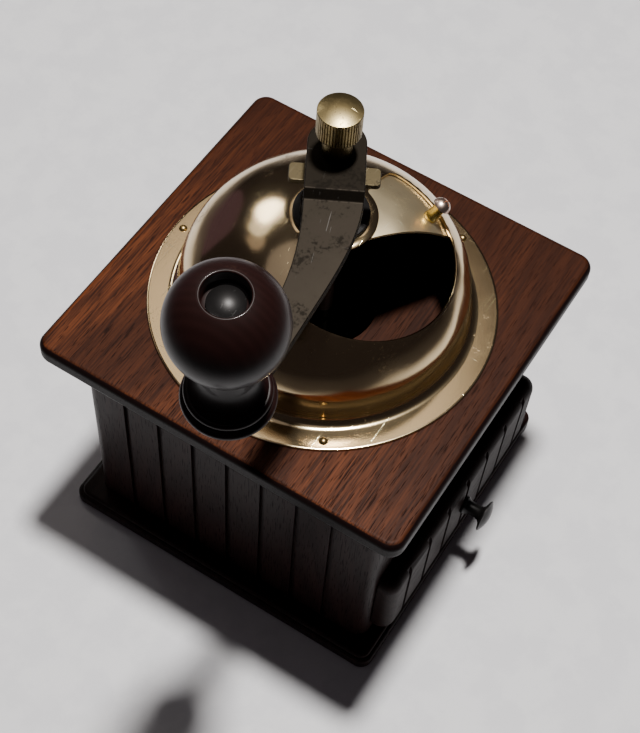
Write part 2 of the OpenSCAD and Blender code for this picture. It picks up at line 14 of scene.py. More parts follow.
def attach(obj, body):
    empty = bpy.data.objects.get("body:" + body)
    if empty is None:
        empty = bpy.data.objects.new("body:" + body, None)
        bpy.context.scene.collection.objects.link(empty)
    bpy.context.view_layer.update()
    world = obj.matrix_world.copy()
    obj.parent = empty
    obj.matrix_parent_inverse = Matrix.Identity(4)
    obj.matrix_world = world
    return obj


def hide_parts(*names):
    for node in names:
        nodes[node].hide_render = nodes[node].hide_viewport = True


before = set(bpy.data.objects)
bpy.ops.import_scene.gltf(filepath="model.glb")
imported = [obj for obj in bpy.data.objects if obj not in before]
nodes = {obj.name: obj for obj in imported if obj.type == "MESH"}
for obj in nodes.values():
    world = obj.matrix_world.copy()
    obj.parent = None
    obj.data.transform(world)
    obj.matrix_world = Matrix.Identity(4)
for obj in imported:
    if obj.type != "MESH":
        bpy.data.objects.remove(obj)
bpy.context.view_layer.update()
MM = 0.001

# %% [markdown]
# ## Measures that several pieces share
# The dome, the hatch under it and the cutters follow one curve, a quarter ellipse that stands on a
# short cove. The numbers repeat the CAD model's, so the pieces made here fit the ones that stay.

# %% Shared measures
TOP_Z = 104 * MM
SPRING_Z = 112 * MM
DOME_R = 48 * MM
DOME_RISE = 38 * MM
CROWN_R = 13 * MM
SHEET = 0.8 * MM
SAME_POINT, FLAT_ANGLE = 0.002 * MM, math.radians(0.4)
HATCH_OFF = 1.2 * MM
MOUTH_R, MOUTH_Y = 32 * MM, -10 * MM
MOUTH_BACK_Y, MOUTH_SOFT, MOUTH_DISC_R = -4 * MM, 3 * MM, 14.6 * MM
SPINDLE_R = 3.3 * MM
ARM_ANGLE, ARM_SLOPE = math.radians(209), math.radians(7)
ARM_REACH, ARM_SIDE, PIVOT_Z = 80 * MM, -24.5 * MM, 165.3418 * MM


def on_circle(r, degrees):
    """The point at this radius and angle."""
    return r * math.cos(math.radians(degrees)), r * math.sin(math.radians(degrees))


def arc(x, y, r, start, end, count):
    """Points of an arc about (x, y), from one angle in degrees to another."""
    angles = [math.radians(start + (end - start) * i / count) for i in range(count + 1)]
    return [(x + r * math.cos(a), y + r * math.sin(a)) for a in angles]


def dome_height(r, off=0.0):
    """Height of the dome's curve at radius r, or of a curve that lies off below it."""
    return SPRING_Z + (DOME_RISE - off) * math.sqrt(max(0.0, 1 - (r / (DOME_R - off)) ** 2))


def dome_curve(off, r0, r1, count=40):
    """(radius, height) points of that curve, evenly turned from r0 to r1."""
    full = DOME_R - off
    a0, a1 = math.acos(min(1, r0 / full)), math.acos(min(1, r1 / full))
    radii = [full * math.cos(a0 + (a1 - a0) * i / count) for i in range(count + 1)]
    return [(r, dome_height(r, off)) for r in radii]


crown_z = dome_height(CROWN_R)
print("crown of the dome at", round(crown_z / MM, 2), "mm")

# %% [markdown]
# ## Working habits
# An operator acts on everything that is selected, so each piece starts from an empty selection. A
# finished piece is placed in its own mesh, has its faces turned outwards, and rides on the body that
# carries it in the frame.

# %% Selecting and finishing
def start_clean():
    """Object mode with nothing selected."""
    if bpy.context.object and bpy.context.object.mode != "OBJECT":
        bpy.ops.object.mode_set(mode="OBJECT")
    bpy.ops.object.select_all(action="DESELECT")


def hold(piece):
    """Makes piece the one selected, active object."""
    start_clean()
    piece.select_set(True)
    bpy.context.view_layer.objects.active = piece


def place(piece, matrix):
    """Puts a piece, modelled at the origin, in its place in the mill."""
    hold(piece)
    piece.matrix_world = matrix
    bpy.ops.object.transform_apply(location=True, rotation=True, scale=True)


def weld(piece):
    """Merges double vertices and turns the faces outwards."""
    hold(piece)
    bpy.ops.object.mode_set(mode="EDIT")
    bpy.ops.mesh.select_all(action="SELECT")
    bpy.ops.mesh.remove_doubles(threshold=SAME_POINT)
    bpy.ops.mesh.normals_make_consistent(inside=False)
    bpy.ops.object.mode_set(mode="OBJECT")


def smooth(piece, degrees):
    """Smooth shading, except over edges that are sharper than this angle."""
    hold(piece)
    bpy.ops.object.shade_smooth_by_angle(angle=math.radians(degrees))


def apply_modifiers(piece):
    """Applies a piece's modifiers in their order."""
    hold(piece)
    for modifier in list(piece.modifiers):
        bpy.ops.object.modifier_apply(modifier=modifier.name)


def finish_piece(piece, material, body, slot, *stands_for):
    """Gives a piece its finish and body, and hides the CAD nodes that it stands for. slot is not used."""
    if material:
        piece.data.materials.clear()
        piece.data.materials.append(material)
    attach(piece, body)
    if stands_for:
        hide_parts(*stands_for)
    print(f"{piece.name}: {len(piece.data.polygons)} faces on {body}")


# %% [markdown]
# ## Turning on the lathe
# The dome, bush, nuts, rivet and grip are all turned or spun pieces. One vertex is extruded along half
# of the section, and Spin carries that line once round the Z axis, as a lathe tool does.

# %% The lathe
def turn(name, section, steps):
    """A solid turned about Z from (radius, height) points."""
    start_clean()
    bpy.ops.mesh.primitive_plane_add(size=MM, location=(0, 0, 0))
    piece = bpy.context.object
    piece.name = piece.data.name = name
    bpy.ops.object.mode_set(mode="EDIT")
    bpy.ops.mesh.select_all(action="SELECT")
    bpy.ops.mesh.merge(type="CENTER")
    here = Vector((section[0][0], 0, section[0][1]))
    bpy.ops.transform.translate(value=here)
    for r, z in section[1:]:
        there = Vector((r, 0, z))
        bpy.ops.mesh.extrude_region_move(TRANSFORM_OT_translate={"value": there - here})
        here = there
    bpy.ops.mesh.select_all(action="SELECT")
    bpy.ops.mesh.spin(steps=steps, angle=2 * math.pi, center=(0, 0, 0), axis=(0, 0, 1))
    bpy.ops.object.mode_set(mode="OBJECT")
    weld(piece)
    return piece


def turn_mm(name, section, steps):
    """The same, from points in millimetres."""
    return turn(name, [(r * MM, z * MM) for r, z in section], steps)


# %% [markdown]
# ## Softening a board or plate
# No sawn board has a knife edge. A copy of the CAD mesh has its loose triangles merged, its flat faces
# made whole, and its edges rounded with the Bevel modifier. Weighted normals keep the flat faces flat
# under smooth shading. The narrow faces of the bevel can take a second material, which is where an edge
# is rubbed bare.

# %% Soft copies of CAD nodes
def soften(node, width, segments=2, edge_slot=False, sharp=30):
    """A copy of a CAD node with rounded edges."""
    piece = bpy.data.objects.new(node + "_soft", nodes[node].data.copy())
    bpy.context.scene.collection.objects.link(piece)
    hold(piece)
    bpy.ops.mesh.customdata_custom_splitnormals_clear()
    bpy.ops.object.mode_set(mode="EDIT")
    bpy.ops.mesh.select_all(action="SELECT")
    bpy.ops.mesh.remove_doubles(threshold=SAME_POINT)
    bpy.ops.mesh.dissolve_limited(angle_limit=FLAT_ANGLE)
    bpy.ops.object.mode_set(mode="OBJECT")
    piece.data.materials.clear()
    bpy.ops.object.shade_smooth()
    bevel = piece.modifiers.new("soft edges", "BEVEL")
    bevel.width = width
    bevel.segments = segments
    bevel.limit_method = "ANGLE"
    bevel.angle_limit = math.radians(sharp)
    bevel.miter_outer = "MITER_ARC"
    if edge_slot:
        bevel.material = 1
    weighted = piece.modifiers.new("flat faces stay flat", "WEIGHTED_NORMAL")
    weighted.keep_sharp = True
    apply_modifiers(piece)
    return piece


# %% [markdown]
# ## Node groups for the finishes
# Wood, wear and scratches turn up in more than one finish, so each is one node group with its own
# inputs. A group only puts out masks and heights. Every material mixes its colours and sets its shader
# from them.

# %% Helpers for groups and materials
def new_group(name, inputs, outputs):
    """A shader node group. inputs are (name, socket type, value), outputs are names of plain values."""
    group = bpy.data.node_groups.new(name, "ShaderNodeTree")
    for label, kind, value in inputs:
        socket = group.interface.new_socket(label, in_out="INPUT", socket_type=kind)
        if value is not None:
            socket.default_value = value
    for label in outputs:
        group.interface.new_socket(label, in_out="OUTPUT", socket_type="NodeSocketFloat")
    return group, group.nodes.new("NodeGroupInput"), group.nodes.new("NodeGroupOutput")


def feed(tree, socket, value):
    """Links a socket, or sets its value."""
    if isinstance(value, bpy.types.NodeSocket):
        tree.links.new(value, socket)
    elif value is not None:
        socket.default_value = value


def calc(tree, operation, a, b=None, c=None):
    """A Math node."""
    node = tree.nodes.new("ShaderNodeMath")
    node.operation = operation
    for socket, value in zip(node.inputs, (a, b, c)):
        feed(tree, socket, value)
    return node.outputs[0]


def stretch(tree, vector, scale, turn_by=(0, 0, 0)):
    """A Mapping node that turns and scales a pattern."""
    node = tree.nodes.new("ShaderNodeMapping")
    feed(tree, node.inputs["Vector"], vector)
    node.inputs["Rotation"].default_value = turn_by
    feed(tree, node.inputs["Scale"], scale)
    return node.outputs[0]


def noise(tree, vector, scale, detail=3.0, rough=0.5):
    """A Noise Texture node."""
    node = tree.nodes.new("ShaderNodeTexNoise")
    feed(tree, node.inputs["Vector"], vector)
    feed(tree, node.inputs["Scale"], scale)
    node.inputs["Detail"].default_value = detail
    node.inputs["Roughness"].default_value = rough
    return node.outputs["Fac"]


def ramp(tree, value, low, high, out_low=0.0, out_high=1.0):
    """A smooth Map Range node."""
    node = tree.nodes.new("ShaderNodeMapRange")
    node.interpolation_type = "SMOOTHSTEP"
    for socket, v in zip(node.inputs[:5], (value, low, high, out_low, out_high)):
        feed(tree, socket, v)
    return node.outputs[0]


def split(tree, vector):
    """The X, Y and Z of a vector."""
    node = tree.nodes.new("ShaderNodeSeparateXYZ")
    feed(tree, node.inputs[0], vector)
    return node.outputs


def hypot(tree, a, b):
    """The length of a vector from its two components."""
    squares = [calc(tree, "MULTIPLY", v, v) for v in (a, b)]
    return calc(tree, "SQRT", calc(tree, "ADD", *squares))


# %% [markdown]
# ### Wood figure
# A board is a slice of a trunk. Its growth rings are drawn as distances from a slightly tilted trunk
# axis, which gives the arched figure of a flat-sawn board by itself. Pores are short dark dashes along
# the grain, and fibres are the fine lines between them. The grain runs along the group's X.

# %% Wood figure group
WAVER, PORES, FIBRES = (6, 22, 22), (170, 2400, 2400), (60, 1500, 1500)   # noise per metre along and across

wood_figure, g_in, g_out = new_group("Wood figure", [
    ("Vector", "NodeSocketVector", None), ("Ring Spacing", "NodeSocketFloat", 3.4 * MM),
    ("Trunk Offset", "NodeSocketFloat", 0.02), ("Trunk Tilt", "NodeSocketFloat", 0.1)],
    ["Rings", "Pores", "Fibres"])
tree, vector = wood_figure, g_in.outputs["Vector"]
axes = split(tree, vector)
slow = noise(tree, stretch(tree, vector, WAVER), 1.0, 1.0)
side_way = calc(tree, "ADD", axes["Y"], calc(tree, "MULTIPLY", slow, 9 * MM))
slope = calc(tree, "MULTIPLY_ADD", axes["X"], g_in.outputs["Trunk Tilt"], g_in.outputs["Trunk Offset"])
depth = calc(tree, "ADD", slope, axes["Z"])
turns = calc(tree, "DIVIDE", hypot(tree, side_way, depth), g_in.outputs["Ring Spacing"])
feed(tree, g_out.inputs["Rings"], ramp(tree, calc(tree, "PINGPONG", turns, 0.5), 0.05, 0.5))
pore_noise = noise(tree, stretch(tree, vector, PORES), 1.0, 2.0)
feed(tree, g_out.inputs["Pores"], ramp(tree, pore_noise, 0.56, 0.68))
feed(tree, g_out.inputs["Fibres"], noise(tree, stretch(tree, vector, FIBRES), 1.0, 4.0))

# %% [markdown]
# ### Rub and scratches
# Rubbed places are large soft patches broken up by fine speckle. Scratches are thin lines: noise that
# is stretched far along two directions, of which only the highest parts are kept.

# %% Rub group and scratch group
rub, g_in, g_out = new_group("Rub", [
    ("Vector", "NodeSocketVector", None), ("Patch Scale", "NodeSocketFloat", 40.0),
    ("Speckle Scale", "NodeSocketFloat", 1500.0), ("Amount", "NodeSocketFloat", 0.5)],
    ["Mask", "Patches", "Speckle"])
tree = rub
patches = noise(tree, g_in.outputs["Vector"], g_in.outputs["Patch Scale"], 4.0, 0.6)
speckle = noise(tree, g_in.outputs["Vector"], g_in.outputs["Speckle Scale"], 2.0, 0.6)
both = calc(tree, "ADD", calc(tree, "MULTIPLY", patches, 0.65), calc(tree, "MULTIPLY", speckle, 0.35))
edge = calc(tree, "SUBTRACT", 0.78, calc(tree, "MULTIPLY", g_in.outputs["Amount"], 0.5))
feed(tree, g_out.inputs["Mask"], ramp(tree, both, edge, calc(tree, "ADD", edge, 0.09)))
feed(tree, g_out.inputs["Patches"], patches)
feed(tree, g_out.inputs["Speckle"], speckle)

scratches, g_in, g_out = new_group("Scratches", [
    ("Vector", "NodeSocketVector", None), ("Fineness", "NodeSocketFloat", 1.0),
    ("Turn", "NodeSocketVector", (0, 0, 0)), ("Amount", "NodeSocketFloat", 0.5)], ["Lines"])
tree = scratches
fine = tree.nodes.new("ShaderNodeVectorMath")
fine.operation = "SCALE"
feed(tree, fine.inputs[0], g_in.outputs["Vector"])
feed(tree, fine.inputs["Scale"], g_in.outputs["Fineness"])
turned_vector = tree.nodes.new("ShaderNodeMapping")
feed(tree, turned_vector.inputs["Vector"], fine.outputs[0])
feed(tree, turned_vector.inputs["Rotation"], g_in.outputs["Turn"])
along = noise(tree, stretch(tree, turned_vector.outputs[0], (25, 2600, 900)), 1.0, 2.0)
across = noise(tree, stretch(tree, turned_vector.outputs[0], (2200, 60, 900), (0, 0, 0.5)), 1.0, 2.0)
limit = calc(tree, "SUBTRACT", 0.74, calc(tree, "MULTIPLY", g_in.outputs["Amount"], 0.16))
lines = calc(tree, "MAXIMUM", ramp(tree, along, limit, calc(tree, "ADD", limit, 0.03)),
             ramp(tree, across, calc(tree, "ADD", limit, 0.03), calc(tree, "ADD", limit, 0.06)))
feed(tree, g_out.inputs["Lines"], lines)


# %% [markdown]
# ## Materials
# Each finish is one Principled shader. A small helper places a group with its values, mixes two colours
# by a mask, and turns heights into a bump. Patterns are read from Object coordinates, which are the
# mill's own metres, so a grain line runs on from board to board only where it does on the real one.

# %% Helpers inside a material
def new_material(name, metallic=0.0, coat=0.0, coat_roughness=0.1, specular=0.5):
    """A material, its tree, its Principled shader and the mill's own coordinates."""
    material = bpy.data.materials.new(name)
    material.use_nodes = True
    tree = material.node_tree
    shader = tree.nodes["Principled BSDF"]
    shader.inputs["Metallic"].default_value = metallic
    shader.inputs["Specular IOR Level"].default_value = specular
    shader.inputs["Coat Weight"].default_value = coat
    shader.inputs["Coat Roughness"].default_value = coat_roughness
    where = tree.nodes.new("ShaderNodeTexCoord").outputs["Object"]
    return material, tree, shader, where


def use(tree, group, vector, **values):
    """Places a node group. Underscores in a value's name stand for spaces."""
    node = tree.nodes.new("ShaderNodeGroup")
    node.node_tree = group
    feed(tree, node.inputs["Vector"], vector)
    for label, value in values.items():
        feed(tree, node.inputs[label.replace("_", " ")], value)
    return node.outputs


def mix(tree, mask, low, high):
    """Mixes two colours or sockets by a mask."""
    node = tree.nodes.new("ShaderNodeMix")
    node.data_type = "RGBA"
    feed(tree, node.inputs["Factor"], mask)
    for socket, value in ((node.inputs["A"], low), (node.inputs["B"], high)):
        feed(tree, socket, value if isinstance(value, bpy.types.NodeSocket) else (*value, 1))
    return node.outputs["Result"]


def bump(tree, shader, height, strength, distance=0.1 * MM):
    """A Bump node that feeds the shader's Normal."""
    node = tree.nodes.new("ShaderNodeBump")
    node.inputs["Strength"].default_value = strength
    node.inputs["Distance"].default_value = distance
    feed(tree, node.inputs["Height"], height)
    tree.links.new(node.outputs[0], shader.inputs["Normal"])


# %% [markdown]
# ### Wood finishes
# The top is red-brown, open-grained wood under clear lacquer, with the grain from side to side. Painted
# shade makes it darker towards the right and inside the hopper. Its rounded edge is stained black-brown,
# and so are the panels, the base and the drawer front, where the grain only just shows.

# %% Wood finishes
STREAKS = (14, 40, 40)
RIM_BLUR, RIM_WANDER = 0.35 * MM, 0.4 * MM
STAIN_LOW, STAIN_HIGH = TOP_Z - 2.2 * MM, TOP_Z - 1.2 * MM
# Radii over which painted shade darkens the top inside the hopper.
HOPPER_SHADE_IN, HOPPER_SHADE_OUT = 47 * MM, 50 * MM


def wood_finish(name, pale, dark, pore, gloss, grain_turn=(0, 0, 0), coat=0.0, edge=None, tilt=0.1,
                offset=0.02, spacing=3.4 * MM, bump_strength=0.25, rings=0.45):
    """Wood with rings, fibres and pores.

    edge is (half width, half depth, corner, inset, colour) of the top's stained rim; it also adds painted
    shade.
    """
    material, tree, shader, where = new_material(name, coat=coat, coat_roughness=0.12, specular=0.08)
    vector = stretch(tree, where, (1, 1, 1), grain_turn)
    figure = use(tree, wood_figure, vector, Ring_Spacing=spacing, Trunk_Offset=offset, Trunk_Tilt=tilt)
    shade = calc(tree, "ADD", calc(tree, "MULTIPLY", figure["Rings"], rings),
                 calc(tree, "MULTIPLY", figure["Fibres"], 1 - rings))
    body = mix(tree, ramp(tree, shade, 0.28, 0.72), dark, pale)
    streaks = noise(tree, stretch(tree, vector, STREAKS), 1.0, 3.0)
    body = mix(tree, ramp(tree, streaks, 0.35, 0.7, 0.0, 0.7), body, dark)
    colour = mix(tree, calc(tree, "MULTIPLY", figure["Pores"], 0.85), body, pore)
    rough = calc(tree, "MULTIPLY_ADD", figure["Pores"], 0.2, gloss)
    height = calc(tree, "SUBTRACT", calc(tree, "MULTIPLY", figure["Fibres"], 0.35), figure["Pores"])
    if edge:
        half_w, half_d, corner, inset, stain = edge
        axes = split(tree, where)
        outs = []
        for axis, half in (("X", half_w), ("Y", half_d)):
            reach = calc(tree, "SUBTRACT", calc(tree, "ABSOLUTE", axes[axis]), half - corner)
            outs.append(calc(tree, "MAXIMUM", reach, 0.0))
        wander = calc(tree, "MULTIPLY", noise(tree, where, 120.0, 2.0), RIM_WANDER)
        away = calc(tree, "ADD", hypot(tree, *outs), wander)
        rim = calc(tree, "MAXIMUM", ramp(tree, away, corner - inset, corner - inset + RIM_BLUR),
                   ramp(tree, axes["Z"], STAIN_LOW, STAIN_HIGH, 1.0, 0.0))
        # Painted shade: the top darkens towards the right, where the lamp's light falls off.
        colour = mix(tree, ramp(tree, axes["X"], -0.7 * half_w, half_w, 0.0, 0.7), colour, dark)
        # Painted shade: the wood inside the hopper, under the dome, is darkened towards the pore colour.
        middle = hypot(tree, axes["X"], axes["Y"])
        colour = mix(tree, ramp(tree, middle, HOPPER_SHADE_IN, HOPPER_SHADE_OUT, 0.45, 0.0), colour, pore)
        colour = mix(tree, rim, colour, stain)
        rough = calc(tree, "SUBTRACT", rough, calc(tree, "MULTIPLY", rim, 0.12))
        height = calc(tree, "MULTIPLY", height, calc(tree, "SUBTRACT", 1.0, rim))
    feed(tree, shader.inputs["Base Color"], colour)
    feed(tree, shader.inputs["Roughness"], rough)
    bump(tree, shader, height, bump_strength)
    return material


top_rim = (67.5 * MM, 68.5 * MM, 5.5 * MM, 1.2 * MM, (0.006, 0.003, 0.003))
top_wood = wood_finish(
    "Lacquered top wood", (0.098, 0.0270, 0.0085), (0.018, 0.0045, 0.0016), (0.006, 0.0018, 0.001), 0.52,
    edge=top_rim, tilt=0.05, offset=0.012, spacing=2.6 * MM, rings=0.12, bump_strength=0.3)
panel_wood = wood_finish(
    "Stained panel wood", (0.026, 0.011, 0.010), (0.014, 0.006, 0.0055), (0.005, 0.002, 0.002), 0.42,
    grain_turn=(0, math.pi / 2, 0), coat=0.03, bump_strength=0.12, rings=0.2)
base_wood = wood_finish(
    "Stained base wood", (0.022, 0.007, 0.005), (0.010, 0.0035, 0.003), (0.004, 0.002, 0.002), 0.36,
    coat=0.1, bump_strength=0.12, rings=0.2)
drawer_wood = wood_finish(
    "Stained drawer wood", (0.020, 0.008, 0.0065), (0.010, 0.004, 0.0035), (0.004, 0.002, 0.002), 0.5,
    bump_strength=0.1, rings=0.2)
bare_wood = wood_finish(
    "Bare tray wood", (0.50, 0.33, 0.17), (0.36, 0.21, 0.10), (0.20, 0.11, 0.05), 0.6,
    grain_turn=(0, 0, math.pi / 2), spacing=5 * MM)


# %% [markdown]
# ### Metal finishes
# All the metals are made by one function: a clean colour, a darker tarnish where the Rub mask is on,
# scratches in the bump, and a little waviness that breaks up reflections in pressed sheet.

# %% Metal finishes
WAVE_FADE = 12 * MM


def metal_finish(name, clean, tarnish, gloss, dull, metallic=1.0, specular=0.5, patch=40.0,
                 speckle=1500.0, amount=0.5, scratch=0.4, scratch_turn=(0, 0, 0), fineness=1.0,
                 wave=0.0, wave_scale=60.0, wave_from=None, strength=0.2):
    """Metal with tarnish, scratches and waves. The waves fade in above the height wave_from."""
    material, tree, shader, where = new_material(name, metallic=metallic, specular=specular)
    worn = use(tree, rub, where, Patch_Scale=patch, Speckle_Scale=speckle, Amount=amount)
    lines = use(tree, scratches, where, Fineness=fineness, Amount=scratch, Turn=scratch_turn)
    colour = mix(tree, worn["Mask"], clean, tarnish)
    bare = [min(1, c * 1.5 + 0.05) for c in clean]
    colour = mix(tree, calc(tree, "MULTIPLY", lines["Lines"], 0.5), colour, bare)
    feed(tree, shader.inputs["Base Color"], colour)
    rough = calc(tree, "MULTIPLY_ADD", worn["Mask"], dull - gloss, gloss)
    rough = calc(tree, "MULTIPLY_ADD", worn["Patches"], 0.08, rough)
    feed(tree, shader.inputs["Roughness"], rough)
    height = calc(tree, "MULTIPLY_ADD", lines["Lines"], -0.6, calc(tree, "MULTIPLY", worn["Speckle"], 0.25))
    if wave:
        waves = noise(tree, where, wave_scale, 1.0)
        if wave_from is not None:
            fade = ramp(tree, split(tree, where)["Z"], wave_from, wave_from + WAVE_FADE)
            waves = calc(tree, "MULTIPLY", waves, fade)
        height = calc(tree, "MULTIPLY_ADD", waves, wave, height)
    bump(tree, shader, height, strength)
    return material


dome_brass = metal_finish(
    "Polished dome brass", (0.80, 0.62, 0.36), (0.50, 0.36, 0.20), 0.11, 0.30, amount=0.42, patch=55,
    scratch=0.2, wave=120.0, wave_scale=36, strength=0.2, wave_from=TOP_Z + 3 * MM)
# Paler brass for the dome's lips: partly bare cut edge, partly a painted highlight that makes them show as
# bright lines.
lip_brass = metal_finish(
    "Lip brass", (0.92, 0.78, 0.50), (0.70, 0.55, 0.32), 0.34, 0.46, amount=0.3, patch=300)
hatch_brass = metal_finish(
    "Hatch brass", (0.86, 0.72, 0.46), (0.58, 0.46, 0.27), 0.36, 0.46, amount=0.3, scratch=0.2,
    wave=80.0, wave_scale=50, strength=0.22)
nail_brass = metal_finish(
    "Nail brass", (0.36, 0.25, 0.10), (0.12, 0.08, 0.03), 0.28, 0.5, amount=0.5, patch=400)
nut_brass = metal_finish(
    "Cap nut brass", (0.27, 0.21, 0.10), (0.12, 0.09, 0.042), 0.3, 0.44, amount=0.5, patch=700,
    speckle=2600, strength=0.4)
post_brass = metal_finish(
    "Post brass", (0.74, 0.54, 0.16), (0.34, 0.23, 0.07), 0.2, 0.4, amount=0.35, patch=300)

# %% Steels and iron
arm_steel = metal_finish(
    "Worn arm steel", (0.0135, 0.0110, 0.0083), (0.0095, 0.0078, 0.0060), 0.46, 0.58, metallic=0.75,
    specular=0.05, amount=0.5, patch=110, speckle=900, scratch=0.2, scratch_turn=(0, 0, -0.35),
    fineness=0.8, strength=0.25)
edge_steel = metal_finish(
    "Rubbed steel edge", (0.11, 0.095, 0.078), (0.03, 0.026, 0.021), 0.36, 0.5, amount=0.6, patch=260,
    strength=0.3)
wing_bronze = metal_finish(
    "Dull wing plate", (0.10, 0.08, 0.045), (0.05, 0.04, 0.024), 0.4, 0.55, amount=0.5, patch=150)
head_steel = metal_finish(
    "Post head", (0.78, 0.60, 0.50), (0.36, 0.26, 0.22), 0.26, 0.4, amount=0.35, patch=260)
thread_steel = metal_finish(
    "Dull thread", (0.46, 0.43, 0.38), (0.22, 0.20, 0.17), 0.32, 0.5, amount=0.45, patch=160)
bright_steel = metal_finish(
    "Bright steel", (0.50, 0.49, 0.46), (0.25, 0.24, 0.22), 0.22, 0.4, amount=0.35, patch=200)
black_steel = metal_finish(
    "Black oxide steel", (0.012, 0.011, 0.011), (0.028, 0.026, 0.025), 0.34, 0.5, metallic=0.5,
    specular=0.25, amount=0.3, patch=180, strength=0.25)
cast_iron = metal_finish(
    "Cast iron", (0.06, 0.057, 0.052), (0.03, 0.027, 0.025), 0.5, 0.7, metallic=0.8, amount=0.6,
    patch=120, speckle=900, strength=0.9, scratch=0.0)


# %% [markdown]
# ### The grip's lacquer
# The grip is turned wood under thick, nearly black lacquer. The colour is almost lost, so the look
# comes from a hard clear coat over a duller base, with faint turning rings and a few rubbed spots.

# %% Grip lacquer
grip_lacquer, tree, shader, where = new_material("Grip lacquer", coat=0.12, coat_roughness=0.07,
                                                 specular=0.15)
worn = use(tree, rub, where, Patch_Scale=90.0, Speckle_Scale=1200.0, Amount=0.35)
figure = use(tree, wood_figure, stretch(tree, where, (1, 1, 1), (0, math.pi / 2, 0)), Ring_Spacing=2.2 * MM)
colour = mix(tree, figure["Rings"], (0.0095, 0.0034, 0.0030), (0.0115, 0.0041, 0.0037))
colour = mix(tree, calc(tree, "MULTIPLY", worn["Mask"], 0.4), colour, (0.03, 0.014, 0.010))
feed(tree, shader.inputs["Base Color"], colour)
feed(tree, shader.inputs["Roughness"], calc(tree, "MULTIPLY_ADD", worn["Patches"], 0.2, 0.3))
bump(tree, shader, calc(tree, "ADD", worn["Speckle"], figure["Fibres"]), 0.06)

# %% [markdown]
# ## The box
# The boards are good shapes already, so they are softened copies. The top plate gets its wood and its
# stained rim from one material, because on the real one the stain ends in a line on the rounding
# itself.

# %% Boards
for node, finish, slot, width in (
        ("top_plate", top_wood, "top_wood", 0.3),
        ("base_plate", base_wood, "dark_wood", 0.25),
        ("left_panel", panel_wood, "dark_wood", 0.3),
        ("right_panel", panel_wood, "dark_wood", 0.3),
        ("back_panel", panel_wood, "dark_wood", 0.3),
        ("front_rail", panel_wood, "dark_wood", 0.3)):
    finish_piece(soften(node, width * MM), finish, "box", slot, node)
finish_piece(soften("drawer_front", 0.3 * MM), drawer_wood, "drawer", "dark_wood", "drawer_front")
for node in ("drawer_left", "drawer_right", "drawer_back", "drawer_bottom"):
    finish_piece(soften(node, 0.25 * MM), bare_wood, "drawer", "bare_wood", node)

# %% [markdown]
# ## The dome
# The dome is spun from one sheet of brass: flat flange, small cove, tall quarter ellipse and flat
# crown. Its section is drawn all round, outside and inside, so that the turned shell has the sheet's
# real thickness. The filling mouth is then cut with a Boolean. The cutter's wall stands square to the
# sheet, as a press cuts it, and not upright. The sharp edges of the sheet get a small rounded lip in a
# brighter brass, partly bare cut metal and partly a painted highlight, so that they show as thin bright
# lines. Narrow rings of faces beside the flange's edges keep the flat flange flat under smooth shading.

# %% Dome section
dome_bore, flange_r, flange_in_r, cove_r = 8.1 * MM, 58.3 * MM, 51.4 * MM, 3.4 * MM
flange_top, narrow = TOP_Z + SHEET, 0.25 * MM
cove_z = flange_top + cove_r
section = [(dome_bore, crown_z - SHEET), (dome_bore, crown_z), (CROWN_R - 0.4 * MM, crown_z)]
section += dome_curve(0, CROWN_R + 0.3 * MM, DOME_R)
section += arc(flange_in_r, cove_z, cove_r, 180, 270, 10)
section += [(flange_in_r + narrow, flange_top), (flange_r - 0.8 * MM, flange_top),
            (flange_r - narrow, flange_top), (flange_r, flange_top - 0.2 * MM), (flange_r, TOP_Z),
            (flange_in_r, TOP_Z)]
section += arc(flange_in_r, cove_z, cove_r + SHEET, 270, 180, 8)[1:]
section += dome_curve(SHEET, DOME_R - SHEET, CROWN_R)
section += [section[0]]
dome = turn("dome_sheet", section, 192)

# %% Outline of the mouth
corner_y = MOUTH_BACK_Y - MOUTH_SOFT
lift = corner_y - MOUTH_Y
side_x = math.sqrt((MOUTH_R - MOUTH_SOFT) ** 2 - lift ** 2)
meet = math.degrees(math.asin(lift / (MOUTH_R - MOUTH_SOFT)))
disc_x = math.sqrt((MOUTH_DISC_R + MOUTH_SOFT) ** 2 - corner_y ** 2)
touch = math.degrees(math.atan2(-corner_y, disc_x))
outline = arc(side_x, corner_y, MOUTH_SOFT, 90, meet, 8)
outline += arc(0, MOUTH_Y, MOUTH_R, meet, -180 - meet, 128)[1:]
outline += arc(-side_x, corner_y, MOUTH_SOFT, 180 - meet, 90, 8)[1:]
outline += arc(-disc_x, corner_y, MOUTH_SOFT, 90, touch, 8)
outline += arc(0, 0, MOUTH_DISC_R, touch - 180, -touch, 64)[1:]
outline += arc(disc_x, corner_y, MOUTH_SOFT, 180 - touch, 90, 8)[1:]
print("mouth outline of", len(outline), "points")


# %% Cutting helpers
def loft(name, rings):
    """A closed solid through rings of points, all with the same number of points."""
    count = len(rings[0])
    points = [p for ring in rings for p in ring]
    faces = [list(range(count)), list(range(len(points) - 1, len(points) - count - 1, -1))]
    for k in range(len(rings) - 1):
        a, b = k * count, (k + 1) * count
        faces += [[a + i, b + i, b + (i + 1) % count, a + (i + 1) % count] for i in range(count)]
    mesh = bpy.data.meshes.new(name)
    mesh.from_pydata(points, [], faces)
    solid = bpy.data.objects.new(name, mesh)
    bpy.context.scene.collection.objects.link(solid)
    weld(solid)
    return solid


def cut(piece, cutter, operation="DIFFERENCE"):
    """Applies a Boolean and removes the cutter."""
    modifier = piece.modifiers.new("cut", "BOOLEAN")
    modifier.operation = operation
    modifier.solver = "EXACT"
    modifier.object = cutter
    apply_modifiers(piece)
    bpy.data.objects.remove(cutter)


def sheet_normal(x, y, z):
    """Direction square to the dome's sheet."""
    return Vector((x / DOME_R ** 2, y / DOME_R ** 2, (z - SPRING_Z) / DOME_RISE ** 2)).normalized()


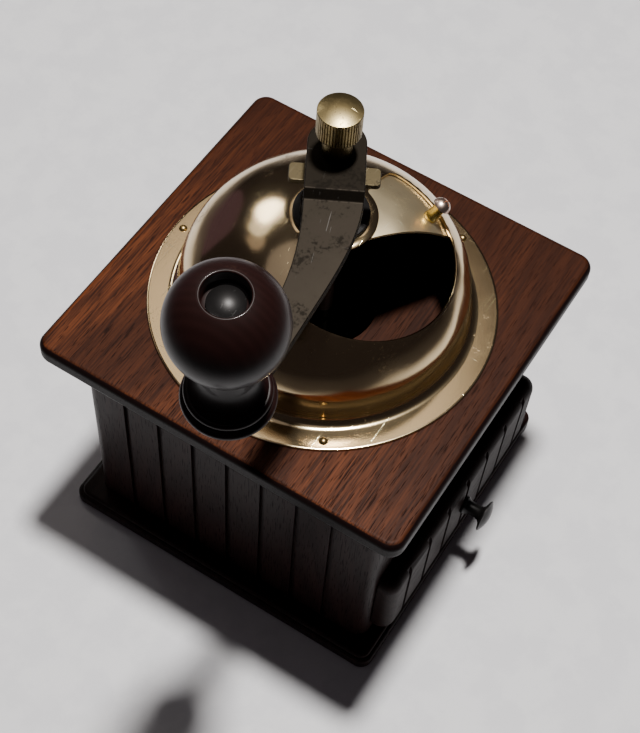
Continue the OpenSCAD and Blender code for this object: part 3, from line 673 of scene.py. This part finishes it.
# %% Cut the mouth
inwards, outwards, floor_z, roof_z = 2.2 * MM, 1.5 * MM, TOP_Z + 9 * MM, crown_z + 20 * MM
on_dome = [Vector((x, y, dome_height(math.hypot(x, y)))) for x, y in outline]
below = [p - inwards * sheet_normal(*p) for p in on_dome]
above = [p + outwards * sheet_normal(*p) for p in on_dome]
floor_ring = [(p.x, p.y, floor_z) for p in below]
roof_ring = [(p.x, p.y, roof_z) for p in above]
cut(dome, loft("mouth_cutter", [floor_ring, below, above, roof_ring]))
weld(dome)

# %% Round the lips
# The lips take the paler brass, which is partly a painted highlight.
lip = dome.modifiers.new("rounded lips", "BEVEL")
lip.width, lip.segments, lip.material = 0.14 * MM, 2, 1
lip.limit_method, lip.angle_limit = "ANGLE", math.radians(50)
apply_modifiers(dome)
smooth(dome, 40)
finish_piece(dome, dome_brass, "box", "brass", "dome")
dome.data.materials.append(lip_brass)

# %% [markdown]
# ## Nails and bush
# Three round-headed nails hold the flange. One is turned and then copied twice, each copy with a mesh
# of its own. The black bush in the crown carries the spindle and, on its barrel, the hatch.

# %% Nails
head_r, head_drop, shank_r, gap = 1.45 * MM, 0.6 * MM, 0.8 * MM, 0.05 * MM
nail_ring, nail_angles = 55 * MM, (92, 212, 332)
head = arc(0, -head_drop, math.hypot(head_r, head_drop), 22.5, 90, 8)
section = [(0, -6.5 * MM), (shank_r, -6 * MM), (shank_r, gap), (head_r * 0.96, gap)]
section += [(r, z + gap) for r, z in head[:-1]] + [(0, head[-1][1] + gap)]
first_nail = turn("nail_1", section, 32)
nails = [first_nail]
for i in (2, 3):
    copy = bpy.data.objects.new(f"nail_{i}", first_nail.data.copy())
    bpy.context.scene.collection.objects.link(copy)
    nails.append(copy)
for nail, angle in zip(nails, nail_angles):
    place(nail, Matrix.Rotation(math.radians(angle), 4, "Z")
          @ Matrix.Translation((nail_ring, 0, flange_top)))
    smooth(nail, 40)
    finish_piece(nail, nail_brass, "box", "brass", "dome_nails")

# %% Upper bush
bush_r, barrel_r, bush_top = 12 * MM, 8 * MM, crown_z + 1.3 * MM
bush_low = crown_z - HATCH_OFF - SHEET - 1.8 * MM
bore = SPINDLE_R + 0.06 * MM
section = [(bore, bush_low), (barrel_r, bush_low), (barrel_r, crown_z), (bush_r - 0.2 * MM, crown_z),
           (bush_r, crown_z + 0.25 * MM), (bush_r, bush_top - 0.45 * MM),
           (bush_r - 0.12 * MM, bush_top - 0.15 * MM), (bush_r - 0.4 * MM, bush_top),
           (bore, bush_top), (bore, bush_low)]
bush = turn("crown_bush", section, 96)
smooth(bush, 30)
finish_piece(bush, black_steel, "box", "black_steel", "upper_bush")

# %% [markdown]
# ## The hatch
# The hatch is a second, smaller skin that turns inside the dome. It is turned as a full shell and then
# trimmed to its outline, a disc with two straight edges that meet at the spindle and two round corners.

# %% Hatch
hatch_r, hatch_cut, hatch_soft, hatch_bore = 43 * MM, 12.4 * MM, 9 * MM, 8.06 * MM
low_off, blank_r = HATCH_OFF + SHEET, hatch_r + 1 * MM
section = [(hatch_bore, crown_z - low_off), (hatch_bore, crown_z - HATCH_OFF)]
section += dome_curve(HATCH_OFF, CROWN_R, blank_r)
section += dome_curve(low_off, blank_r, CROWN_R)
section += [section[0]]
hatch = turn("hatch_leaf", section, 160)

# %% Trim the hatch
lead, trail = 238, 178
in_r, in_cut = hatch_r - hatch_soft, hatch_cut - hatch_soft
swing = math.degrees(math.acos(in_cut / in_r))
a0, a1 = lead + swing, trail + 360 - swing
meet_r = hatch_cut / math.cos(math.radians((lead - trail) / 2))
plan = arc(*on_circle(in_r, a0), hatch_soft, lead, a0, 12)
plan += arc(0, 0, hatch_r, a0, a1, 120)[1:]
plan += arc(*on_circle(in_r, a1), hatch_soft, a1, trail + 360, 12)[1:]
plan += [on_circle(meet_r, (lead + trail) / 2)]
rings = [[(x, y, z) for x, y in plan] for z in (TOP_Z, crown_z + 30 * MM)]
cut(hatch, loft("hatch_cutter", rings), "INTERSECT")
smooth(hatch, 30)
finish_piece(hatch, hatch_brass, "hatch", "brass", "hatch")

# %% [markdown]
# ## The hatch's post
# The knob of the hatch is a waisted brass post held by a screw. It stands square to the sheet, so it is
# modelled upright at the origin and tilted into place.

# %% Post
post_r, post_angle = 32.5 * MM, math.radians(-44)
post_slope = (post_r / DOME_R ** 2) / ((dome_height(post_r) - SPRING_Z) / DOME_RISE ** 2)
at_post = (Matrix.Rotation(post_angle, 4, "Z")
           @ Matrix.Translation((post_r, 0, dome_height(post_r, HATCH_OFF)))
           @ Matrix.Rotation(math.atan(post_slope), 4, "Y"))
section = [(1.05, 0.15), (2.25, 0.15), (2.3, 0.5), (2.25, 0.95), (2.1, 1.5), (2.0, 2.3), (1.95, 3.4),
           (1.97, 4.8), (2.05, 5.4), (2.05, 5.8), (1.05, 5.8), (1.05, 0.15)]
post = turn_mm("hatch_post_turned", section, 48)
place(post, at_post)
smooth(post, 40)
finish_piece(post, post_brass, "hatch", "brass", "hatch_post")

# %% The post's screw
slot_angle, slot_size, slot_z = 0.4, (3.4 * MM, 0.5 * MM, 2.6 * MM), 8.75 * MM
dome_head = arc(0, 5.2, math.hypot(3.1, 0.65), 12, 82, 8)
section = [(0, -3), (0.85, -3), (1, -2.8), (1, 5.85), (2.95, 5.85)] + dome_head
section += [(0, dome_head[-1][1] + 0.03)]
screw = turn_mm("hatch_screw_turned", section, 48)
for angle in (slot_angle, slot_angle + math.pi / 2):
    start_clean()
    bpy.ops.mesh.primitive_cube_add(size=1, location=(0, 0, slot_z), rotation=(0, 0, angle),
                                    scale=slot_size)
    cut(screw, bpy.context.object)
start_clean()
bpy.ops.mesh.primitive_cylinder_add(vertices=6, radius=2 * MM, depth=1.6 * MM, location=(0, 0, -1.8 * MM))
cut(screw, bpy.context.object, "UNION")
place(screw, at_post)
smooth(screw, 30)
finish_piece(screw, head_steel, "hatch", "bright_steel", "hatch_screw")

# %% [markdown]
# ## The spindle's thread
# The thread is real geometry, because it can be seen inside the hopper. It is built from many thin
# rings. Round each ring the radius rises to the crest and falls to the root once, and each ring starts
# a little further on.

# %% Spindle
pitch, thread_low, thread_top, spindle_low, spindle_top = 1.0, 103.0, 150.0, 54.0, 188.8
crest, root, sides, per_turn = SPINDLE_R / MM, SPINDLE_R / MM - 0.5, 32, 8
flat_crest, shoulder = 1.15, 0.3


def spindle_ring(z, threaded):
    """One ring of the spindle at height z, in metres."""
    ring = []
    for i in range(sides):
        rise = abs((z / pitch - i / sides) % 1 * 2 - 1) if threaded else 1.0
        radius = root + (crest - root) * min(1.0, flat_crest * rise)
        angle = 2 * math.pi * i / sides
        ring.append((radius * math.cos(angle) * MM, radius * math.sin(angle) * MM, z * MM))
    return ring


steps = round((thread_top - thread_low) / pitch * per_turn)
rings = [spindle_ring(spindle_low, False), spindle_ring(thread_low - shoulder, False)]
rings += [spindle_ring(thread_low + i * pitch / per_turn, True) for i in range(steps + 1)]
rings += [spindle_ring(thread_top + shoulder, False), spindle_ring(spindle_top, False)]
spindle = loft("spindle_thread", rings)
smooth(spindle, 30)
finish_piece(spindle, thread_steel, "crank", "bright_steel", "spindle")

# %% [markdown]
# ## The crank
# The arm, the winged plate and the adjusting nut are pressed and milled steel: softened copies, the arm
# with rubbed edges. The cap nut is turned with four lines of faces to each flute, and every fourth line of
# vertices is pulled inwards, which gives its fine straight knurl.

# %% Arm, plate and nut
arm = soften("crank_arm", 0.45 * MM, 3, edge_slot=True)
finish_piece(arm, arm_steel, "crank", "worn_steel", "crank_arm")
arm.data.materials.append(edge_steel)
wings = soften("lock_plate", 0.25 * MM, 2)
finish_piece(wings, wing_bronze, "crank", "worn_steel", "lock_plate")
nut = soften("adjusting_nut", 0.25 * MM, 2)
finish_piece(nut, black_steel, "adjuster", "black_steel", "adjusting_nut")

# %% Cap nut
collar_z, nut_top, nut_r, flutes = 184.0, 193.1, 6.7, 48
crown_rise, crown_edge, knurl_depth = 1.1, nut_r - 0.4, 0.35
crown_sphere = (crown_edge ** 2 + crown_rise ** 2) / (2 * crown_rise)
sweep = math.degrees(math.asin(crown_edge / crown_sphere))
crown = arc(0, nut_top + crown_rise - crown_sphere, crown_sphere, 90 - sweep, 90, 10)
section = [(0, 175.95), (3.9, 175.95), (4.5, 176.5), (4.5, collar_z - 1.6), (4, collar_z - 1.2),
           (4, collar_z - 0.6), (5.5, collar_z), (nut_r - 0.1, collar_z + 0.4),
           (nut_r, collar_z + 0.7), (nut_r, collar_z + 1.1), (nut_r, nut_top - 0.45),
           (nut_r, nut_top - 0.3), (nut_r - 0.12, nut_top - 0.08)]
section += crown[:-1] + [(0, crown[-1][1])]
cap = turn_mm("cap_nut_turned", section, flutes * 4)

# %% The cap nut's knurl
hold(cap)
bpy.ops.object.mode_set(mode="EDIT")
bpy.ops.mesh.select_all(action="DESELECT")
bpy.ops.object.mode_set(mode="OBJECT")
for vertex in cap.data.vertices:
    step = round(math.degrees(math.atan2(vertex.co.y, vertex.co.x)) / 360 * flutes * 4)
    in_band = collar_z + 1 < vertex.co.z / MM < nut_top - 0.4
    vertex.select = in_band and step % 4 == 0 and vertex.co.xy.length > (nut_r - 0.1) * MM
bpy.ops.object.mode_set(mode="EDIT")
groove = 1 - knurl_depth / nut_r
bpy.ops.transform.resize(value=(groove, groove, 1), center_override=(0, 0, 0))
bpy.ops.object.mode_set(mode="OBJECT")
smooth(cap, 22)
finish_piece(cap, nut_brass, "crank", "brass", "cap_nut")

# %% [markdown]
# ## The grip
# The grip is one turned piece: a flared foot with two beads, a waist and a ball with a counterbore. It
# is drawn upright and then tilted with the arm, about the rivet that it turns on.

# %% Grip
at_grip = (Matrix.Rotation(ARM_ANGLE, 4, "Z") @ Matrix.Translation((ARM_REACH, ARM_SIDE, PIVOT_Z))
           @ Matrix.Rotation(ARM_SLOPE, 4, "Y"))
ball_r, ball_z, neck_r, cup_r, bore_r, foot_z = 16, 41.5, 8, 6.1, 3.16, 0.4
neck_z = ball_z - math.sqrt(ball_r ** 2 - neck_r ** 2)
cup_z = ball_z + 9.5
rim = math.degrees(math.asin((cup_r + 0.9) / ball_r))
rim_z = ball_z + ball_r * math.cos(math.radians(rim))
low_angle = math.degrees(math.asin((neck_z - ball_z) / ball_r))
section = [(bore_r, foot_z), (11.6, foot_z)] + arc(11.6, 2.0, 1.6, -80, 80, 12)
section += arc(10.8, 5.6, 1.3, -62, 100, 10)
section += arc(16.5, 15, 9.4, 232, 180, 14)
section += [(6.95, neck_z - 8), (6.9, neck_z - 7)]
section += arc(7.2, neck_z - 4, 1.9, -80, 80, 12)
section += [(neck_r - 0.9, neck_z - 1.6), (neck_r - 0.75, neck_z - 0.9)]
section += arc(0, ball_z, ball_r, low_angle, 90 - rim, 48)
section += arc(cup_r + 0.45, rim_z - 0.42, 0.45, 50, 180, 6)
section += [(cup_r, cup_z + 0.3), (cup_r - 0.3, cup_z), (bore_r, cup_z), (bore_r, foot_z)]
grip = turn_mm("grip_turned", section, 96)
place(grip, at_grip)
smooth(grip, 50)
finish_piece(grip, grip_lacquer, "grip", "grip_wood", "grip_knob")

# %% Rivet
section = [(0, -4.4), (4.6, -4.4), (5, -4), (5, -3), (3.1, -3), (3.1, cup_z + 0.4), (4.8, cup_z + 0.4),
           (4.9, cup_z + 0.55), (4.9, cup_z + 0.85)]
section += [(r, z + cup_z + 0.4) for r, z in arc(0, -6.3, 8.35, 54.3, 88, 12)] + [(0, cup_z + 2.45)]
rivet = turn_mm("grip_rivet_turned", section, 64)
place(rivet, at_grip)
smooth(rivet, 40)
finish_piece(rivet, black_steel, "crank", "black_steel", "grip_rivet")

# %% [markdown]
# ## The drawer's knob
# A small black mushroom, turned and then laid over so that it points forward.

# %% Drawer knob
face_y, pull_z = -65.6 * MM, 29 * MM
section = [(0, 5), (1.65, 5), (1.65, 0), (3.2, 0), (3.4, 0.2), (3.4, 0.9), (3.1, 1.2), (2.65, 1.8),
           (2.5, 3), (2.5, 6.2), (2.9, 7.1), (3.7, 7.7), (5.6, 8.3), (5.95, 8.6), (6, 9)]
section += arc(0, -1, 11.6, 61, 88, 10) + [(0, 10.62)]
pull = turn_mm("drawer_knob_turned", section, 64)
place(pull, Matrix.Translation((0, face_y, pull_z)) @ Matrix.Rotation(math.pi / 2, 4, "X"))
smooth(pull, 35)
finish_piece(pull, black_steel, "drawer", "black_steel", "drawer_pull")

# %% [markdown]
# ## Inside pieces
# The pieces inside are good as they come from the frame. They only get their finishes.

# %% Finishes of the nodes that stay
for finish, kept in (
        (bright_steel, ("burr_pin", "burr_spring", "base_screws", "housing_screws", "bridge_screws",
                        "pull_screw")),
        (arm_steel, ("hatch_washer", "lower_bridge")),
        (bare_wood, ("drawer_guides",)),
        (cast_iron, ("burr_housing", "outer_burr", "inner_burr")),
        (nut_brass, ("lower_bush",))):
    for node in kept:
        mesh = nodes[node].data
        mesh.materials.clear()
        mesh.materials.append(finish)

# %% [markdown]
# ## Floor, light and camera
# The mill stands on a pale table. A spot lamp high above it and a little to the right makes a pool of
# light with a soft rim, and the world adds a weak glow. Polished brass shows what stands round it, so
# six round glowing cards, out of view, stand for a window and its curtain, a wall, a shelf and the
# ceiling.

# %% Floor
start_clean()
bpy.ops.mesh.primitive_plane_add(size=6, location=(0, 0, 0))
table = bpy.context.object
table.name = "table_top"
table_paint, tree, shader, where = new_material("Pale table")
marble = noise(tree, where, 55.0, 5.0, 0.6)
clouds = mix(tree, ramp(tree, marble, 0.42, 0.58), (0.60, 0.60, 0.63), (0.645, 0.645, 0.67))
feed(tree, shader.inputs["Base Color"], clouds)
shader.inputs["Roughness"].default_value = 0.6
table.data.materials.append(table_paint)


# %% Glowing cards
HEART = Vector((0, 0, 0.14))   # the point that every card faces


def direction(azimuth, elevation):
    """Unit vector from degrees."""
    a, e = math.radians(azimuth), math.radians(elevation)
    return Vector((math.cos(a) * math.cos(e), math.sin(a) * math.cos(e), math.sin(e)))


def card(name, azimuth, elevation, distance, size, glow, colour=(1, 1, 1)):
    """A round glowing card that faces the mill. Its power grows with its size, to keep one brightness."""
    start_clean()
    toward = direction(azimuth, elevation)
    bpy.ops.object.light_add(type="AREA", location=HEART + distance * toward)
    light = bpy.context.object
    light.name = name
    light.data.shape = "DISK"
    light.data.size = size
    light.data.energy = glow * math.pi * math.pi * (size / 2) ** 2
    light.data.color = colour
    light.rotation_euler = toward.to_track_quat("Z", "Y").to_euler()


# %% Lamp, cards and room
start_clean()
lamp_at, pool_centre = Vector((0.145, -0.02, 1.30)), Vector((0.09, 0.05, 0))
bpy.ops.object.light_add(type="SPOT", location=lamp_at)
lamp = bpy.context.object
lamp.name = "ceiling_lamp"
lamp.data.energy, lamp.data.color, lamp.data.shadow_soft_size = 127, (1.0, 0.97, 0.93), 0.07
lamp.data.spot_size, lamp.data.spot_blend = math.radians(37), 0.6
lamp.rotation_euler = (lamp_at - pool_centre).to_track_quat("Z", "Y").to_euler()
card("window_card", 64, 35, 1.2, 0.20, 8.0, (1.0, 0.97, 0.92))
card("pane_card", 75, 38, 1.25, 0.26, 1.2, (1.0, 0.95, 0.88))
card("curtain_card", 90, 41, 1.3, 0.34, 0.35, (1.0, 0.85, 0.75))
card("wall_card", 80, 2, 1.3, 0.85, 0.055, (1.0, 0.55, 1.0))
card("shelf_card", 32, 57, 1.3, 0.48, 0.95, (1.0, 0.87, 0.76))
card("ceiling_card", 150, 76, 1.8, 1.7, 0.20, (1.0, 0.92, 0.96))
world = bpy.data.worlds.new("room")
bpy.context.scene.world = world
world.use_nodes = True
room = world.node_tree.nodes["Background"].inputs
room["Color"].default_value, room["Strength"].default_value = (1.0, 0.82, 0.9, 1), 0.020

# %% Camera
azimuth, elevation, roll = math.radians(-63.088), math.radians(59.764), math.radians(5.986)
target, distance = Vector((-50.492, -30.610, 100)) * MM, 457.71 * MM
back = Vector((math.sin(azimuth) * math.cos(elevation), -math.cos(azimuth) * math.cos(elevation),
               math.sin(elevation)))
right = (-back).cross(Vector((0, 0, 1))).normalized()
up = right.cross(-back)
cam_x = math.cos(roll) * right + math.sin(roll) * up
cam_y = -math.sin(roll) * right + math.cos(roll) * up
start_clean()
bpy.ops.object.camera_add(location=target + distance * back)
camera = bpy.context.object
camera.rotation_euler = Matrix((cam_x, cam_y, back)).transposed().to_euler()
camera.data.sensor_width = 36
camera.data.lens = 71.69
camera.data.shift_y = 0.1276
camera.data.clip_start, camera.data.clip_end = 0.01, 20
bpy.context.scene.camera = camera

# %% [markdown]
# ## The last step: an empty selection

# %% Clear the selection
start_clean()
